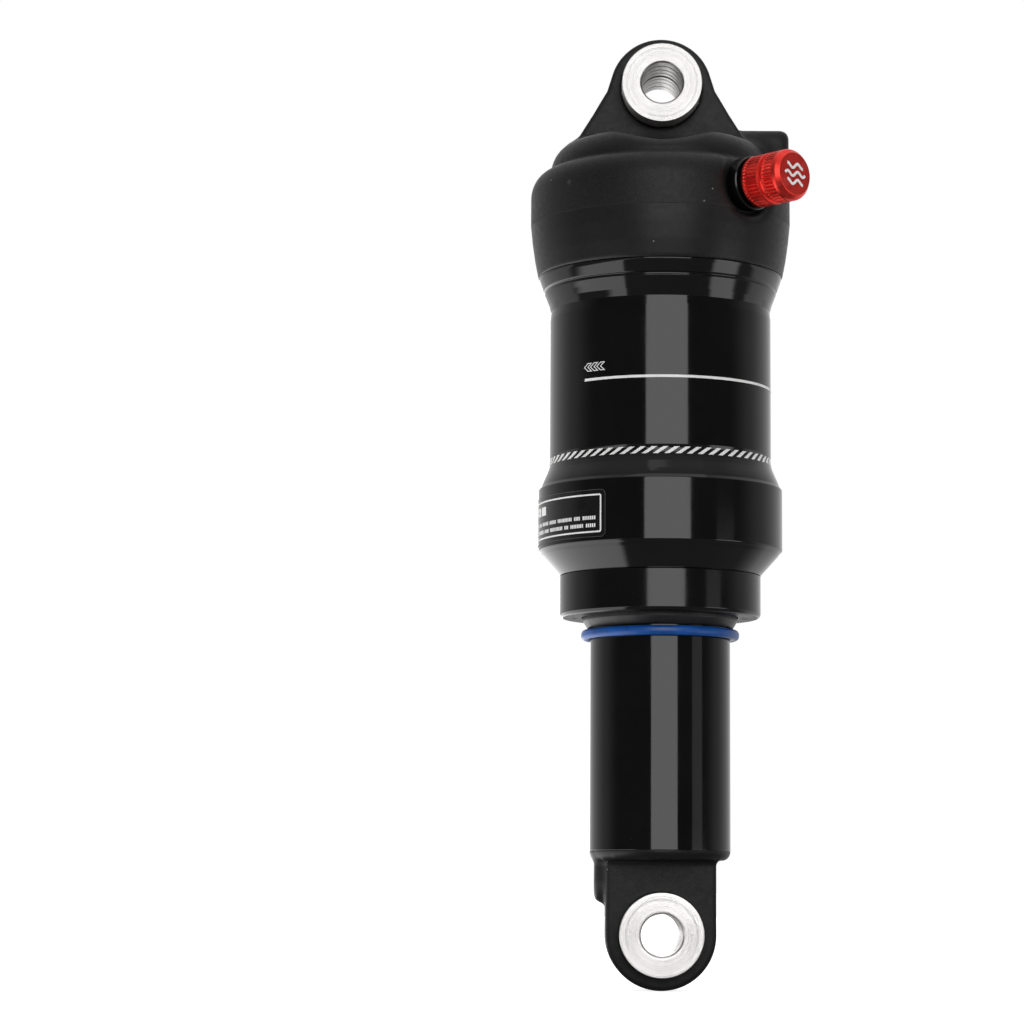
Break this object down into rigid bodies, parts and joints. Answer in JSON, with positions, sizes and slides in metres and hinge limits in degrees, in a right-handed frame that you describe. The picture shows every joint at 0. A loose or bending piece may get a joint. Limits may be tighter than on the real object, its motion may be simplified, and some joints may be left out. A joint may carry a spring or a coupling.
{
  "type": "rear shock",
  "caption": "Bicycle rear shock: an air can over an oil damper, an eye at each end with flanged spacers for its bolt, an air valve under a knurled cap and a travel ring on the tube.",
  "frame": {"origin": "centre of the upper eye, on the axis of its bolt bore", "axes": "+Z along the shock's axis from the lower eye to the upper eye; both bolt bores run along Y; the air valve points to +X and -Y"},
  "size_m": [0.0531, 0.0554, 0.1856],
  "materials": {
    "matte_black": "fine bead-blasted black anodising",
    "gloss_black": "polished black anodising",
    "satin_aluminium": "turned bare aluminium, satin",
    "plain_aluminium": "machined bare aluminium",
    "red_anodised": "red anodising, satin",
    "steel": "ground steel",
    "brass": "turned brass",
    "bronze": "plain bearing bronze with a dry lubricant",
    "black_rubber": "smooth moulded rubber",
    "blue_rubber": "smooth moulded rubber, blue",
    "bumper_rubber": "cast polyurethane, amber",
    "white_plastic": "low-friction plastic, off-white"
  },
  "bodies": {
    "head_and_can": {"eyelet_head": "matte_black", "air_can": "gloss_black", "seal_head": "gloss_black", "head_o_ring": "black_rubber", "seal_head_o_ring": "black_rubber", "guide_bush": "bronze", "main_air_seal": "black_rubber", "seal_backup_ring": "white_plastic", "dust_wiper": "black_rubber", "top_out_bumper": "bumper_rubber", "bottom_out_bumper": "bumper_rubber", "upper_eye_bush": "bronze", "air_valve_body": "gloss_black", "valve_body_o_ring": "black_rubber", "valve_core_barrel": "brass", "damper_shaft": "steel", "main_piston": "plain_aluminium", "piston_glide_band": "bronze", "rebound_shim_1": "steel", "rebound_shim_2": "steel", "compression_shim_1": "steel", "compression_shim_2": "steel", "compression_shim_3": "steel", "piston_nut": "steel"},
    "air_piston_rings": {"air_piston_seal": "black_rubber", "air_piston_glide_ring": "white_plastic"},
    "damper_body": {"damper_tube": "gloss_black", "lower_eyelet": "matte_black", "tube_o_ring": "black_rubber", "bearing_head": "plain_aluminium", "bearing_head_o_ring": "black_rubber", "shaft_bush": "bronze", "shaft_seal": "black_rubber", "lower_eye_bush": "bronze", "fill_port_screw": "steel", "fill_port_seal": "black_rubber"},
    "floating_piston": {"floating_piston": "plain_aluminium", "floating_piston_o_ring": "black_rubber"},
    "travel_ring": {"travel_ring": "blue_rubber"},
    "upper_hardware": {"upper_spacer_front": "satin_aluminium", "upper_spacer_rear": "satin_aluminium"},
    "lower_hardware": {"lower_spacer_front": "satin_aluminium", "lower_spacer_rear": "satin_aluminium"},
    "valve_cap_seal": {"valve_cap_seal": "black_rubber"},
    "valve_cap": {"valve_cap": "red_anodised"},
    "valve_core_pin": {"valve_core_pin": "brass"}
  },
  "joints": [
    {"name": "shock_stroke", "type": "slide", "parent": "head_and_can", "child": "air_piston_rings", "axis": [0, 0, 1], "range_m": [0, 0.035], "stiffness_N_per_m": 20000},
    {"name": "damper_twist", "type": "hinge", "parent": "air_piston_rings", "child": "damper_body", "pos_m": [0, 0, -0.082], "axis": [0, 0, 1], "continuous": true},
    {"name": "floating_piston_slide", "type": "slide", "parent": "damper_body", "child": "floating_piston", "axis": [0, 0, -1], "range_m": [0, 0.0057]},
    {"name": "travel_ring_slide", "type": "slide", "parent": "damper_body", "child": "travel_ring", "axis": [0, 0, -1], "range_m": [0, 0.035]},
    {"name": "upper_eye_pivot", "type": "hinge", "parent": "head_and_can", "child": "upper_hardware", "pos_m": [0, 0, 0], "axis": [0, 1, 0], "continuous": true},
    {"name": "lower_eye_pivot", "type": "hinge", "parent": "damper_body", "child": "lower_hardware", "pos_m": [0, 0, -0.165], "axis": [0, 1, 0], "continuous": true},
    {"name": "valve_cap_lift", "type": "slide", "parent": "head_and_can", "child": "valve_cap_seal", "axis": [0.6691, -0.7431, 0], "range_m": [0, 0.0071]},
    {"name": "valve_cap_turn", "type": "hinge", "parent": "valve_cap_seal", "child": "valve_cap", "pos_m": [0.02007, -0.02229, -0.0218], "axis": [0.6691, -0.7431, 0], "range_deg": [0, 3260]},
    {"name": "valve_core_press", "type": "slide", "parent": "head_and_can", "child": "valve_core_pin", "axis": [-0.6691, 0.7431, 0], "range_m": [0, 0.001], "stiffness_N_per_m": 800}
  ],
  "couplings": [
    {"joint": "floating_piston_slide", "follows": "shock_stroke", "ratio": 0.16204},
    {"joint": "travel_ring_slide", "follows": "shock_stroke", "ratio": 1},
    {"joint": "valve_cap_turn", "follows": "valve_cap_lift", "rad_per_m": 7913.3}
  ]
}
